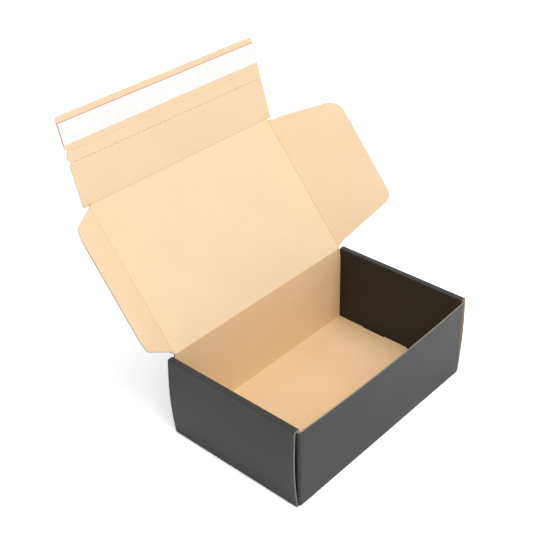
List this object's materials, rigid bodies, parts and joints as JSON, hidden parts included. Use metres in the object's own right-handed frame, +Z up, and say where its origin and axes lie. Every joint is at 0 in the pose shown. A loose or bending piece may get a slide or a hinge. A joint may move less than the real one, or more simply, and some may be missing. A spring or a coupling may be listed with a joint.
{
  "type": "corrugated mailer box",
  "caption": "Open roll-end corrugated mailer box with a hinged lid, two side ears and a peel-and-seal flap with a perforated tear strip.",
  "frame": {"origin": "middle of the underside of the base, which the box stands on", "axes": "+X along the box, -Y out of the front wall that the lid closes over, +Z up"},
  "size_m": [0.4144, 0.3312, 0.3463],
  "materials": {
    "printed_board": "matt black print outside, plain kraft inside",
    "kraft_board": "plain kraft inside, matt black print outside",
    "adhesive": "red-tinted adhesive film",
    "liner_paper": "smooth white coated paper"
  },
  "bodies": {
    "tray": {"tray": "printed_board"},
    "lid": {"lid": "kraft_board"},
    "left_ear": {"left_ear": "kraft_board"},
    "right_ear": {"right_ear": "kraft_board"},
    "seal_flap": {"seal_flap": "kraft_board", "adhesive_tape": "adhesive", "release_liner": "liner_paper"}
  },
  "joints": [
    {"name": "lid_hinge", "type": "hinge", "parent": "tray", "child": "lid", "pos_m": [0, 0.0907, 0.1061], "axis": [-1, 0, 0], "range_deg": [-129.5, 50.5]},
    {"name": "left_ear_hinge", "type": "hinge", "parent": "lid", "child": "left_ear", "pos_m": [-0.1424, 0.09008, 0.10661], "axis": [0, 0.6361, 0.7716], "range_deg": [-43.5, 111.4]},
    {"name": "right_ear_hinge", "type": "hinge", "parent": "lid", "child": "right_ear", "pos_m": [0.1424, 0.09008, 0.10661], "axis": [0, -0.6361, -0.7716], "range_deg": [-43.5, 111.4]},
    {"name": "seal_flap_hinge", "type": "hinge", "parent": "lid", "child": "seal_flap", "pos_m": [0, 0.2085, 0.249], "axis": [-1, 0, 0], "range_deg": [-67, 53]}
  ],
  "couplings": [
    {"joint": "left_ear_hinge", "follows": "lid_hinge", "ratio": -0.86},
    {"joint": "right_ear_hinge", "follows": "lid_hinge", "ratio": -0.86}
  ]
}
